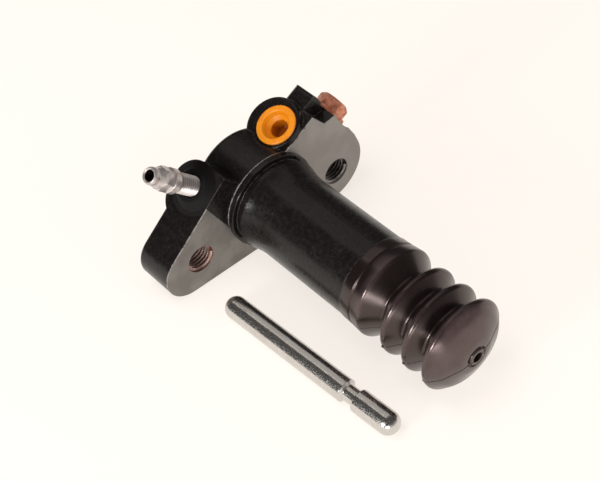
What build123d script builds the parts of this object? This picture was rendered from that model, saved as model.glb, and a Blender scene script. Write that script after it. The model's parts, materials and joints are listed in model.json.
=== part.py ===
from build123d import *
import math
import os

os.makedirs("parts", exist_ok=True)

# Clutch slave cylinder, millimetres.
# The origin is on the bore axis, in the plane of the machined mounting face.
# +X runs along the bore towards the dust boot, +Y towards the plugged end of the
# inlet block, and +Z is up as the cylinder lies on its mounting ears.

# Bore and barrel
bore_r = 9.525            # 3/4 inch bore
bore_floor_x = -11.0      # closed end of the bore
mouth_chamfer = 0.8
barrel_r = 15.1
head_r = 17.15            # closed head behind the mounting face
head_back_x = -18.9
head_round = 2.4
collar_r = 17.35          # pilot rim, turned
collar_x = 2.0            # it stands this far in front of the mounting face
relief_r = 15.5           # turned relief groove between rim and shoulder
shoulder_x = 4.8
shoulder_r = 16.7
barrel_start_x = 13.0     # the shoulder's hollow runs into the barrel here
boot_seat_x = 51.0        # the barrel steps down here for the boot's cuff
boot_seat_r = 13.9
boot_seat_len = 7.0       # from that step to the barrel's open end
boot_groove_from_step = 1.2
boot_groove_depth = 1.0   # groove that the boot's bead sits in
boot_groove_len = 2.0
rim_round = 0.3           # turned edges
edge_round = 1.2          # cast edges
bore_mouth_x = boot_seat_x + boot_seat_len
boot_groove_x = boot_seat_x + boot_groove_from_step
boot_groove_r = boot_seat_r - boot_groove_depth

# Mounting flange, seen along the bore
flange_thick = 15.2
hole_pitch = 60.0
hole_z = -7.8
thread_major_r = 5.0      # M10 mounting thread
hole_chamfer = 0.15
left_foot_z = -20.5       # the flat that the left ear stands on
right_foot_z = -19.0
left_ear_round = 10.0
right_ear_round = 14.0
wall_angle = 42.3         # slope of the left ear's outer wall
wall_dist = 25.6          # that wall's distance from the bore axis
wall_top = 0.6            # where the wall ends, measured along it
wall_top_round = 6.0      # rounding of the wall's top corner at the back
corner_round = 1.6
ear_side_angle = 68.0     # slope of the right ear's outer side
raw_start_z = 11.7        # above this height on the left wall the face isn't milled
raw_angle = 60.0          # slope of the milling's end
raw_depth = 0.4

# Inlet block, tilted about the bore axis; across is along its sloping top
block_tilt = 30.0
block_top = 8.6           # sloping top's distance from the bore axis
block_back_round = 3.0    # rounding of the top's back edge
block_end = 35.6          # plugged end's distance from the bore axis
block_end_low = -16.2     # lowest point of the end wall, below the sloping top's zero
notch_start = 30.0        # step cut out of the block's front corner
notch_low = 1.2
notch_slope = 2.2
notch_depth = 5.5

# Inlet port
port_x = -8.0
port_across = 19.9
port_boss_x = -10.2       # the cast boss isn't quite round the port
port_boss_across = 19.8
port_boss_r = 9.6
port_boss_rise = 2.3
port_boss_round = 0.8
port_boss_flare = 0.6     # it widens towards its foot
port_boss_len = 15.0
port_cut_r = 8.4          # the port's face is milled flat over this radius
port_cut_clear = 4.0      # the cutter's height above that face
port_major_r = 5.5
port_depth = 10.0

# Cross drilling, closed by the hexagon screw and its washer
passage_x = -7.5
passage_low = -5.8        # height of the drilling in the block's own frame
passage_r = 2.2
passage_thread_r = 3.0
passage_thread_len = 10.0
spot_face_r = 8.8
spot_face_depth = 0.7
spot_face_clear = 5.0     # the cutter's height above the spot face

# Bleeder boss and screw
bleed_x = -8.54
bleed_along = -7.4        # place along the sloping wall
bleed_angle = 46.0        # the screw's lean from upright
bleed_boss_x = -10.1
bleed_boss_along = -7.9
bleed_boss_r = 8.9
bleed_pad_rise = 2.6      # raised pad round the screw, with sloping sides
bleed_pad_r = 5.6
bleed_pad_foot_r = 8.0
boss_foot_x = -9.4        # the boss is drawn out down the wall
boss_foot_along = -11.3
boss_foot_r = 9.2
bleed_recess_r = 3.9      # relief round the thread
bleed_recess_depth = 0.6
bleed_thread_r = 3.45
bleed_fit = 0.05
bleed_thread_depth = 12.0
bleed_passage_r = 1.1
bleed_shown = 7.8         # thread that stands out of the pad
bleed_neck_r = 2.2
bleed_tip_len = 3.0
bleed_collar_r = 4.2
bleed_collar_len = 3.0
bleed_hex_af = 7.2
bleed_hex_len = 5.2
nipple_r = 3.4
nipple_neck_r = 2.2
nipple_len = 4.6
nipple_bore_r = 1.5
nipple_bore_depth = 14.0

# Piston, cup, spring and stop ring
piston_fit = 0.03
piston_len = 22.0
piston_front_gap = 0.05
piston_chamfer = 0.6
spigot_r = 5.2
spigot_len = 6.0
socket_r = 4.1            # ball socket for the rod's round end
socket_depth = 9.0
cup_len = 4.6
cup_fit = 0.02
cup_inner_gap = 0.05
seat_thick = 0.8
seat_r = 8.2
stop_ring_width = 1.2
stop_ring_wire = 1.1
stop_ring_mouth = 3.0     # distance from the barrel's mouth
ring_groove_depth = 1.0
stop_ring_fit = 0.04
stop_ring_in = 1.0        # how far the ring stands into the bore
stop_ring_open = 5.0      # gap between its ends
spring_wire_r = 0.6
spring_mean_r = 7.0
spring_turns = 7.0
spring_gap = 0.05

# Dust boot
boot_wall = 1.4
boot_fit = 0.1
cuff_len = 4.3
cuff_step = 0.4           # groove behind the cuff
shoulder_len = 8.7        # cuff's edge to the crest of the wide first fold
shoulder_rise = 0.4
first_valley_len = 5.8
fold_pitch = 9.0
narrow_folds = 2
fold_r = 16.5             # crests and valleys are given before their rounding
valley_r = 10.66
crest_round = 1.5
valley_round = 0.9
dome_r = 16.7
dome_mid_len = 4.8        # a point half way over the domed end
dome_mid_r = 10.6
dome_len = 7.0
tip_hole_r = 1.2
tip_lip_r = 2.6
tip_lip_len = 1.0
cuff_x = boot_seat_x + boot_fit
cuff_r = boot_seat_r + boot_fit + boot_wall
shoulder_end_x = cuff_x + shoulder_len
first_valley_x = shoulder_end_x + first_valley_len
dome_x = first_valley_x + fold_pitch * (narrow_folds + 0.5)
tip_x = dome_x + dome_len

# Push rod, lying beside the cylinder
rod_r = 4.0
rod_len = 74.6
rod_mid_x = 51.6
rod_mid_y = -29.0
rod_turn = 3.0            # its angle to the bore, seen from above
rod_groove_from_end = 16.0
rod_groove_len = 4.5
rod_groove_r = 2.8
rod_groove_bevel = 0.8

# Hexagon screw and washer
screw_af = 10.0
screw_head_len = 4.2
screw_shank_len = 9.0
screw_fit = 0.04
washer_r = 6.6
washer_thick = 1.3

# Orange transport plug
plug_rim_r = 7.5
plug_rim_len = 1.0
plug_rim_round = 0.35
plug_stem_r = 5.4
plug_stem_len = 8.0
plug_mouth_r = 4.6
plug_bore_r = 2.8
plug_cone_len = 2.4
plug_floor = 1.2
plug_fit = 0.02

tilt = math.radians(block_tilt)
slope = math.radians(wall_angle)
bleed_lean = math.radians(bleed_angle)
ear_side = math.radians(ear_side_angle)


def block_point(across, up):
    """A point of the YZ plane given in the block's tilted frame."""
    return (
        across * math.cos(tilt) - up * math.sin(tilt),
        across * math.sin(tilt) + up * math.cos(tilt),
    )


def wall_point(along, out):
    """A point of the YZ plane given along the left wall and out from the bore axis."""
    return (
        along * math.cos(slope) - out * math.sin(slope),
        along * math.sin(slope) + out * math.cos(slope),
    )


port_dir = Vector(0, -math.sin(tilt), math.cos(tilt))
across_dir = Vector(0, math.cos(tilt), math.sin(tilt))
bleed_dir = Vector(0, -math.sin(bleed_lean), math.cos(bleed_lean))
wall_dir = Vector(0, -math.sin(slope), math.cos(slope))

port_face = block_top + port_boss_rise
port_plane = Plane(Vector(port_x, *block_point(port_across, port_face)), x_dir=(1, 0, 0), z_dir=port_dir)
port_boss_centre = Vector(port_boss_x, *block_point(port_boss_across, port_face))
port_boss_plane = Plane(port_boss_centre, x_dir=(1, 0, 0), z_dir=-across_dir)
spot_face = block_end - spot_face_depth
spot_plane = Plane(Vector(passage_x, *block_point(spot_face, passage_low)), x_dir=(1, 0, 0), z_dir=across_dir)
bleed_face = wall_dist + bleed_pad_rise
bleed_plane = Plane(Vector(bleed_x, *wall_point(bleed_along, bleed_face)), x_dir=(1, 0, 0), z_dir=bleed_dir)
boss_plane = Plane(Vector(0, *wall_point(0, wall_dist)), x_dir=(1, 0, 0), z_dir=wall_dir)

# The milling's end on the left ear, drawn out past the wall and into the collar
raw_slope = math.radians(raw_angle)
raw_start_y = (raw_start_z * math.cos(slope) - wall_dist) / math.sin(slope)
raw_outer = (raw_start_y - 3 * math.cos(raw_slope), raw_start_z + 3 * math.sin(raw_slope))
raw_inner = (raw_start_y + 20 * math.cos(raw_slope), raw_start_z - 20 * math.sin(raw_slope))

# Where the flange's back meets the sloping wall's end and the block's sloping top
wall_back = Plane(Vector(-flange_thick, *wall_point(wall_top, wall_dist)), x_dir=(1, 0, 0), z_dir=-wall_dir)
top_back = Plane(Vector(-flange_thick, *block_point(0, block_top)), x_dir=(1, 0, 0), z_dir=across_dir)

# Corner points of the flange's outline
wall_corner = wall_point(wall_top, wall_dist)
foot_left_y = (left_foot_z * math.cos(slope) - wall_dist) / math.sin(slope)
block_apex = block_point(block_end, block_top)
block_low = block_point(block_end, block_end_low)
foot_right_y = block_low[0] + (block_low[1] - right_foot_z) / math.tan(ear_side)


def corner_waste(radius):
    """What a rounding takes off a square corner at the sketch's origin, towards +x and +y."""
    with Locations((-1, -1)):
        Rectangle(radius + 1, radius + 1, align=(Align.MIN, Align.MIN))
    with Locations((radius, radius)):
        Circle(radius, mode=Mode.SUBTRACT)


# Body casting
with BuildPart() as cylinder_body:
    with BuildSketch(Plane.YZ):
        with BuildLine():
            Polyline(
                (foot_left_y, left_foot_z),
                wall_corner,
                wall_point(wall_top, 0),
                block_point(0, block_top),
                block_apex,
                block_low,
                (foot_right_y, right_foot_z),
                close=True,
            )
        make_face()
        fillet(vertices().sort_by(Axis.X)[0], left_ear_round)
        fillet(vertices().sort_by(Axis.X)[-1], right_ear_round)
        fillet(vertices().sort_by(Axis.Y)[-1], corner_round)
    extrude(amount=-flange_thick)
    back_rim = faces().sort_by(Axis.X)[0].edges()
    fillet(back_rim, edge_round)
    # Rounded top corner behind the bleeder boss, and rounded back edge of the sloping top
    with BuildSketch(wall_back.offset(-1)):
        corner_waste(wall_top_round)
    extrude(amount=wall_dist + 1 - bore_r, mode=Mode.SUBTRACT)
    with BuildSketch(top_back):
        corner_waste(block_back_round)
    extrude(amount=block_end + 1, mode=Mode.SUBTRACT)
    # Closed head, port boss and bleeder boss
    with BuildSketch(Plane.YZ):
        Circle(head_r)
    extrude(amount=head_back_x)
    head_rim = edges().filter_by(GeomType.CIRCLE).sort_by(Axis.X)[0]
    fillet(head_rim, head_round)
    with BuildSketch(port_boss_plane):
        with BuildLine():
            Polyline(
                (0, 0),
                (port_boss_r, 0),
                (port_boss_r + port_boss_flare, -port_boss_rise),
                (port_boss_r + port_boss_flare, -port_boss_len),
                (0, -port_boss_len),
                close=True,
            )
        make_face()
        fillet(vertices().group_by(Axis.Y)[-1].sort_by(Axis.X)[-1], port_boss_round)
    revolve(axis=Axis(port_boss_centre, port_dir))
    with BuildSketch(boss_plane):
        with Locations((bleed_boss_x, bleed_boss_along)):
            Circle(bleed_boss_r)
        with Locations((boss_foot_x, boss_foot_along)):
            Circle(boss_foot_r)
        make_hull()
    extrude(amount=-(wall_dist - bore_r))
    with BuildSketch(boss_plane):
        with Locations((bleed_x, bleed_along)):
            Circle(bleed_pad_foot_r)
    with BuildSketch(boss_plane.offset(bleed_pad_rise)):
        with Locations((bleed_x, bleed_along)):
            Circle(bleed_pad_r)
    loft()
    split(bisect_by=Plane.YZ, keep=Keep.BOTTOM)
    # Cast surface above the left ear, where the milling of the mounting face ends
    with BuildSketch(Plane.YZ):
        with BuildLine():
            Polyline(
                raw_outer,
                raw_inner,
                wall_point(wall_top + 2, 0),
                wall_point(wall_top + 2, wall_dist + 3),
                close=True,
            )
        make_face()
        Circle(collar_r, mode=Mode.SUBTRACT)
    extrude(amount=-raw_depth, mode=Mode.SUBTRACT)
    # Barrel with its rim, relief groove and hollow shoulder
    with BuildSketch(Plane.XZ):
        with BuildLine():
            Polyline(
                (bore_floor_x, 0),
                (bore_floor_x, relief_r),
                (0, relief_r),
                (0, collar_r),
                (collar_x, collar_r),
                (collar_x, relief_r),
                (shoulder_x, relief_r),
                (shoulder_x, shoulder_r),
            )
            blend = ThreePointArc(
                (shoulder_x, shoulder_r),
                ((shoulder_x + barrel_start_x) / 2, barrel_r + (shoulder_r - barrel_r) * 0.32),
                (barrel_start_x, barrel_r),
            )
            Polyline(
                blend @ 1,
                (boot_seat_x, barrel_r),
                (boot_seat_x, boot_seat_r),
                (boot_groove_x, boot_seat_r),
                (boot_groove_x, boot_groove_r),
                (boot_groove_x + boot_groove_len, boot_groove_r),
                (boot_groove_x + boot_groove_len, boot_seat_r),
                (bore_mouth_x - mouth_chamfer, boot_seat_r),
                (bore_mouth_x, boot_seat_r - mouth_chamfer),
                (bore_mouth_x, 0),
                (bore_floor_x, 0),
            )
        make_face()
        turned = vertices().filter_by_position(Axis.X, collar_x - rim_round, shoulder_x + rim_round)
        fillet(turned.filter_by_position(Axis.Y, shoulder_r - rim_round, collar_r + rim_round), rim_round)
    revolve(axis=Axis.X)
    # Bore with its chamfered mouth and the stop ring's groove
    with BuildSketch(Plane.XZ):
        with BuildLine():
            groove_x = bore_mouth_x - stop_ring_mouth - stop_ring_width
            Polyline(
                (bore_floor_x, 0),
                (bore_floor_x, bore_r),
                (groove_x, bore_r),
                (groove_x, bore_r + ring_groove_depth),
                (groove_x + stop_ring_width, bore_r + ring_groove_depth),
                (groove_x + stop_ring_width, bore_r),
                (bore_mouth_x - mouth_chamfer, bore_r),
                (bore_mouth_x, bore_r + mouth_chamfer),
                (bore_mouth_x, 0),
                close=True,
            )
        make_face()
    revolve(axis=Axis.X, mode=Mode.SUBTRACT)
    # Mounting holes
    with Locations(Plane.YZ):
        with Locations((-hole_pitch / 2, hole_z), (hole_pitch / 2, hole_z)):
            CounterSinkHole(thread_major_r, thread_major_r + hole_chamfer, depth=flange_thick)
    # Step in the block's front corner
    with BuildSketch(Plane.YZ):
        with BuildLine():
            Polyline(
                block_point(notch_start - 1, block_top + 1),
                block_point(notch_start + 0.6, notch_low),
                block_point(block_end + 1, notch_low - notch_slope),
                block_point(block_end + 1, block_top + 1),
                close=True,
            )
        make_face()
    extrude(amount=-notch_depth, mode=Mode.SUBTRACT)
    # Inlet port, down to the cross drilling
    with BuildSketch(port_plane):
        Circle(port_cut_r)
    extrude(amount=port_cut_clear, mode=Mode.SUBTRACT)
    with Locations(port_plane):
        Hole(port_major_r, depth=port_depth)
        Hole(passage_r, depth=port_face - passage_low)
    # Cross drilling from the spot face into the bore
    with Locations(spot_plane):
        Hole(passage_r, depth=spot_face - bore_r * 0.6)
        Hole(passage_thread_r, depth=passage_thread_len)
    with BuildSketch(spot_plane):
        Circle(spot_face_r)
    extrude(amount=spot_face_clear, mode=Mode.SUBTRACT)
    # Bleeder thread and passage
    with Locations(bleed_plane):
        CounterBoreHole(bleed_thread_r + bleed_fit, bleed_recess_r, bleed_recess_depth, depth=bleed_thread_depth)
        Hole(bleed_passage_r, depth=bleed_face - bore_r * 0.5)
cylinder_body.part.label = "cylinder_body"
export_step(cylinder_body.part, "parts/cylinder_body.step")

# Piston assembly, shown pushed out against the stop ring
piston_front_x = bore_mouth_x - stop_ring_mouth - stop_ring_width - piston_front_gap
piston_back_x = piston_front_x - piston_len
piston_r = bore_r - piston_fit
cup_front_x = piston_back_x
cup_back_x = cup_front_x - cup_len
seat_front_x = cup_back_x - cup_inner_gap
spigot_end_x = piston_back_x - spigot_len
spring_front_x = seat_front_x - seat_thick - spring_gap
spring_back_x = bore_floor_x + spring_gap

# Piston: round-bottomed socket for the rod in front, spigot for cup and seat behind
with BuildPart() as piston:
    with BuildSketch(Plane.XZ):
        with BuildLine():
            Polyline(
                (spigot_end_x, 0),
                (spigot_end_x, spigot_r),
                (piston_back_x, spigot_r),
                (piston_back_x, piston_r),
                (piston_front_x, piston_r),
                (piston_front_x, socket_r + 2),
                (piston_front_x - 1.5, socket_r + 0.3),
                (piston_front_x - socket_depth + socket_r, socket_r),
            )
            RadiusArc(
                (piston_front_x - socket_depth + socket_r, socket_r),
                (piston_front_x - socket_depth, 0),
                -socket_r,
            )
            Line((piston_front_x - socket_depth, 0), (spigot_end_x, 0))
        make_face()
    revolve(axis=Axis.X)
    front_edges = faces().sort_by(Axis.X)[-1].edges()
    chamfer(front_edges.sort_by(SortBy.RADIUS)[-1], piston_chamfer)
piston.part.label = "piston"
export_step(piston.part, "parts/piston.step")

# Rubber cup behind the piston, its lip open to the fluid
with BuildPart() as piston_cup:
    with BuildSketch(Plane.XZ):
        with BuildLine():
            cup_bore = spigot_r + cup_inner_gap
            cup_r = bore_r - cup_fit
            lip_root_x = cup_front_x - cup_len * 0.45
            Polyline(
                (cup_front_x, cup_bore),
                (cup_front_x, cup_r - 0.5),
                (cup_front_x - 0.6, cup_r - 0.2),
                (cup_back_x, cup_r),
                (cup_back_x, cup_r - 0.9),
                (lip_root_x, cup_r - 1.7),
                (lip_root_x, cup_bore + 1.2),
                (cup_back_x, cup_bore + 0.9),
                (cup_back_x, cup_bore),
                close=True,
            )
        make_face()
    revolve(axis=Axis.X)
piston_cup.part.label = "piston_cup"
export_step(piston_cup.part, "parts/piston_cup.step")

# Pressed seat that the spring bears on
with BuildPart() as spring_seat:
    with BuildSketch(Plane.XZ):
        with BuildLine():
            hub_r = spigot_r + cup_inner_gap
            Polyline(
                (seat_front_x, hub_r),
                (seat_front_x, seat_r),
                (seat_front_x - seat_thick, seat_r),
                (seat_front_x - seat_thick, hub_r),
                close=True,
            )
        make_face()
    revolve(axis=Axis.X)
spring_seat.part.label = "spring_seat"
export_step(spring_seat.part, "parts/spring_seat.step")

# Return spring between the closed end and the seat
spring_len = spring_front_x - spring_back_x - 2 * spring_wire_r
with BuildPart() as return_spring:
    with BuildLine():
        coil = Helix(
            pitch=spring_len / spring_turns,
            height=spring_len,
            radius=spring_mean_r,
            center=(spring_back_x + spring_wire_r, 0, 0),
            direction=(1, 0, 0),
        )
    with BuildSketch(Plane(origin=coil @ 0, z_dir=coil % 0)):
        Circle(spring_wire_r)
    sweep()
return_spring.part.label = "return_spring"
export_step(return_spring.part, "parts/return_spring.step")

# Snap ring that stops the piston, open at the bottom
with BuildPart() as stop_ring:
    with BuildSketch(Plane.YZ.offset(bore_mouth_x - stop_ring_mouth - stop_ring_width / 2)):
        Circle(bore_r + ring_groove_depth - stop_ring_fit)
        Circle(bore_r - stop_ring_in, mode=Mode.SUBTRACT)
        with Locations((0, -bore_r)):
            Rectangle(stop_ring_open, 3 * (ring_groove_depth + stop_ring_in), mode=Mode.SUBTRACT)
    extrude(amount=stop_ring_wire / 2, both=True)
stop_ring.part.label = "stop_ring"
export_step(stop_ring.part, "parts/stop_ring.step")

# Dust boot: cuff, wide first fold, two narrow folds and a shallow domed end
with BuildPart() as dust_boot:
    with BuildSketch(Plane.XZ):
        with BuildLine():
            outline = [
                (cuff_x, cuff_r),
                (shoulder_end_x, cuff_r + shoulder_rise),
                (first_valley_x, valley_r),
            ]
            for fold in range(narrow_folds):
                valley_x = first_valley_x + fold_pitch * (fold + 1)
                outline.append((valley_x - fold_pitch / 2, fold_r))
                outline.append((valley_x, valley_r))
            outline.append((dome_x, dome_r))
            Polyline(*outline)
            ThreePointArc(outline[-1], (dome_x + dome_mid_len, dome_mid_r), (tip_x - tip_lip_len, tip_hole_r))
            bends = vertices().sort_by(Axis.X)[1:-1].sort_by(Axis.Y)
            valleys = bends[: narrow_folds + 1]
            crests = bends[narrow_folds + 1 :]
            fillet(crests, crest_round)
            fillet(valleys, valley_round)
            offset(amount=boot_wall, side=Side.RIGHT)
        make_face()
    revolve(axis=Axis.X)
    # Step round the cuff, where the mould's cuff ring ends
    with BuildSketch(Plane.YZ.offset(cuff_x + cuff_len)):
        Circle(cuff_r + shoulder_rise + cuff_step)
        Circle(cuff_r - cuff_step, mode=Mode.SUBTRACT)
    extrude(amount=cuff_step, mode=Mode.SUBTRACT)
    # Bead inside the cuff, seated in the barrel's groove
    with BuildSketch(Plane.XZ):
        with BuildLine():
            Polyline(
                (boot_groove_x + boot_fit, cuff_r - boot_wall / 2),
                (boot_groove_x + boot_fit, boot_groove_r + boot_fit),
                (boot_groove_x + boot_groove_len - boot_fit, boot_groove_r + boot_fit),
                (boot_groove_x + boot_groove_len - boot_fit, cuff_r - boot_wall / 2),
                close=True,
            )
        make_face()
    revolve(axis=Axis.X)
    # Lip round the rod's hole
    with BuildSketch(Plane.YZ.offset(tip_x - tip_lip_len - boot_wall)):
        Circle(tip_lip_r)
        Circle(tip_hole_r, mode=Mode.SUBTRACT)
    extrude(amount=tip_lip_len + boot_wall)
    with Locations(Plane.YZ.offset(tip_x)):
        Hole(tip_hole_r, depth=boot_wall * 4)
dust_boot.part.label = "dust_boot"
export_step(dust_boot.part, "parts/dust_boot.step")

# Push rod lying on the floor beside the cylinder
rod_z = left_foot_z + rod_r
rod_plane = Plane(
    origin=(rod_mid_x, rod_mid_y, rod_z),
    x_dir=(math.cos(math.radians(rod_turn)), math.sin(math.radians(rod_turn)), 0),
    z_dir=(0, 0, 1),
)
with BuildPart() as push_rod:
    with BuildSketch(rod_plane):
        SlotOverall(rod_len, 2 * rod_r)
        Rectangle(rod_len, rod_r, align=(Align.CENTER, Align.MAX), mode=Mode.SUBTRACT)
        groove_end = rod_len / 2 - rod_groove_from_end
        with BuildLine():
            Polyline(
                (groove_end, rod_r),
                (groove_end, rod_groove_r),
                (groove_end - rod_groove_len, rod_groove_r),
                (groove_end - rod_groove_len - rod_groove_bevel, rod_r),
                close=True,
            )
        make_face(mode=Mode.SUBTRACT)
    revolve(axis=Axis(rod_plane.origin, rod_plane.x_dir))
push_rod.part.label = "push_rod"
export_step(push_rod.part, "parts/push_rod.step")

# Bleeder screw: threaded stem with a cone tip, collar, hexagon and hose nipple
with BuildPart() as bleeder_screw:
    with BuildSketch(bleed_plane.offset(-bleed_thread_depth + bleed_tip_len)):
        Circle(bleed_thread_r)
    extrude(amount=bleed_thread_depth - bleed_tip_len + bleed_shown)
    with BuildSketch(bleed_plane.offset(bleed_shown)):
        Circle(bleed_collar_r)
    extrude(amount=bleed_collar_len)
    with BuildSketch(bleed_plane.offset(bleed_shown + bleed_collar_len)):
        RegularPolygon(bleed_hex_af / 2, 6, major_radius=False)
    extrude(amount=bleed_hex_len)
    nipple_start = bleed_shown + bleed_collar_len + bleed_hex_len
    with BuildSketch(Plane(bleed_plane.origin, x_dir=bleed_plane.z_dir, z_dir=bleed_plane.x_dir)):
        with BuildLine():
            Polyline(
                (nipple_start, 0),
                (nipple_start, bleed_hex_af / 2 - 0.4),
                (nipple_start + 1.2, nipple_neck_r),
                (nipple_start + nipple_len - 2.6, nipple_neck_r),
                (nipple_start + nipple_len - 1.6, nipple_r),
                (nipple_start + nipple_len - 0.9, nipple_r),
                (nipple_start + nipple_len, nipple_bore_r + 0.5),
                (nipple_start + nipple_len, 0),
                close=True,
            )
        make_face()
        with BuildLine():
            Polyline(
                (-bleed_thread_depth + bleed_tip_len, 0),
                (-bleed_thread_depth + bleed_tip_len, bleed_neck_r + 0.6),
                (-bleed_thread_depth + 0.3, 0.4),
                (-bleed_thread_depth + 0.3, 0),
                close=True,
            )
        make_face()
    revolve(axis=Axis(bleed_plane.origin, bleed_plane.z_dir))
    with Locations(bleed_plane.offset(nipple_start + nipple_len)):
        Hole(nipple_bore_r, depth=nipple_bore_depth)
bleeder_screw.part.label = "bleeder_screw"
export_step(bleeder_screw.part, "parts/bleeder_screw.step")

# Transport plug in the inlet port
with BuildPart() as inlet_plug:
    with BuildSketch(Plane(port_plane.origin, x_dir=port_plane.z_dir, z_dir=port_plane.x_dir)):
        with BuildLine():
            rim_top = plug_rim_len + plug_fit
            rim_low = plug_fit
            Polyline(
                (rim_low - plug_stem_len, 0),
                (rim_low - plug_stem_len, plug_stem_r - 0.5),
                (rim_low, plug_stem_r),
                (rim_low, plug_rim_r),
                (rim_top - plug_rim_round, plug_rim_r),
                (rim_top, plug_rim_r - plug_rim_round),
                (rim_top, plug_mouth_r),
                (rim_top - plug_cone_len, plug_bore_r),
                (rim_low - plug_stem_len + plug_floor, plug_bore_r),
                (rim_low - plug_stem_len + plug_floor, 0),
                close=True,
            )
        make_face()
    revolve(axis=Axis(port_plane.origin, port_plane.z_dir))
inlet_plug.part.label = "inlet_plug"
export_step(inlet_plug.part, "parts/inlet_plug.step")

# Copper washer on the spot face, and the hexagon screw that closes the cross drilling
with BuildPart() as sealing_washer:
    with BuildSketch(spot_plane):
        Circle(washer_r)
        Circle(passage_thread_r + 0.15, mode=Mode.SUBTRACT)
    extrude(amount=washer_thick)
sealing_washer.part.label = "sealing_washer"
export_step(sealing_washer.part, "parts/sealing_washer.step")

with BuildPart() as passage_screw:
    with BuildSketch(spot_plane.offset(washer_thick)):
        RegularPolygon(screw_af / 2, 6, major_radius=False, rotation=30)
    extrude(amount=screw_head_len)
    with BuildSketch(spot_plane.offset(washer_thick)):
        Circle(passage_thread_r - screw_fit)
    extrude(amount=-screw_shank_len)
passage_screw.part.label = "passage_screw"
export_step(passage_screw.part, "parts/passage_screw.step")
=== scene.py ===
import json
import math
import bpy
from mathutils import Matrix, Vector


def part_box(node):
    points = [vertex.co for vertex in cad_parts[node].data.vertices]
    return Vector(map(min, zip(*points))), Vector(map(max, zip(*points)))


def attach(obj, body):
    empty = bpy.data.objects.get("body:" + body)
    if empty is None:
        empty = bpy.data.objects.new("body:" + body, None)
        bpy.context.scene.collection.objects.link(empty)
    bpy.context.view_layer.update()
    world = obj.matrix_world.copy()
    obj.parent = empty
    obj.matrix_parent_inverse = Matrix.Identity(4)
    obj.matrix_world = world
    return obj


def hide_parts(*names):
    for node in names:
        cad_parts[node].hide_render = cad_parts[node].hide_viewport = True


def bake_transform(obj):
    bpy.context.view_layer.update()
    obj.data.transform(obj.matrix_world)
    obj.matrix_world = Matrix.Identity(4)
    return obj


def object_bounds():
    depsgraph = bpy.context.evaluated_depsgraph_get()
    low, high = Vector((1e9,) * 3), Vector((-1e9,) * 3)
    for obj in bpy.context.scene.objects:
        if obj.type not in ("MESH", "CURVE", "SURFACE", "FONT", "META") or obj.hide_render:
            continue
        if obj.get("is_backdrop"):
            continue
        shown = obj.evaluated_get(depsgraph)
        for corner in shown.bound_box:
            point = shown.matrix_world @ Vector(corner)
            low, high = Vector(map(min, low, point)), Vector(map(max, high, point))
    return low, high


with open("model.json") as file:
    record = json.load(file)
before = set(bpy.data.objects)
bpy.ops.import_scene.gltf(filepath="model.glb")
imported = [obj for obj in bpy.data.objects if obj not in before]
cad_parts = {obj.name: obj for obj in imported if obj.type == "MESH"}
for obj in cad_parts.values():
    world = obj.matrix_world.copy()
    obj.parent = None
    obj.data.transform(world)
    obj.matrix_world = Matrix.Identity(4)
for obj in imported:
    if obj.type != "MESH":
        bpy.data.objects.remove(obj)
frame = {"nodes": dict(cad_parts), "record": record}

cad_low, cad_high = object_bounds()
MM = 0.001


# Cast body
# Grey iron casting with a sloping wall on one ear and a tilted inlet block on the other,
# dipped in gloss black paint. The mounting face is milled afterwards, so it shows bare
# metal, and the rim, the relief groove and the shoulder beside it are turned, then painted.
PAINT = "#0f0c0c"
PAINT_FADED = "#131110"
PAINT_BROWN = "#1f1917"
# Worn paint on sharp edges, and partly a painted highlight along them.
PAINT_WORN_AND_HIGHLIT = "#5d5350"
# Painted shade round the bleeder's pad.
PAINTED_SHADE_BY_BLEEDER = "#060404"
# Chipped paint at the milled face's edge, and partly a painted highlight along it.
CHIPPED_IRON_AND_HIGHLIGHT = "#8d8783"
DUST = "#8a817b"
MILLED = "#76726d"
MILLED_PALE = "#8a8681"
# Painted sheen on the milled face towards the right ear.
MILLED_PAINTED_SHEEN = "#aaa5a2"
TAPPED_LEFT = "#6a4b43"
TAPPED_RIGHT = "#75716d"
HOLE_Y = 30 * MM
HOLE_Z = -7.8 * MM
TAPPED_REACH = 5.2 * MM
FACE_DEPTH = 0.03 * MM
BEHIND_FACE = 0.0005 * MM
CHIPPING_AND_HIGHLIGHT_DEPTH = (0.55 * MM, 0.2 * MM)
EDGE_ROUNDING = 0.32 * MM
COLLAR_SPAN = (0.5 * MM, 1.5 * MM, 6.5 * MM, 9.0 * MM)
MATT_RING = (8.5 * MM, 11.0 * MM)
PAINTED_SHEEN_ACROSS = 20 * MM
CAST_RELIEF = 0.12 * MM


def linear(code):
    """A colour of the shader, from its sRGB hex code."""
    parts = [int(code[i:i + 2], 16) / 255 for i in (1, 3, 5)]
    return [v / 12.92 if v <= 0.04045 else ((v + 0.055) / 1.055) ** 2.4 for v in parts] + [1.0]


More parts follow.
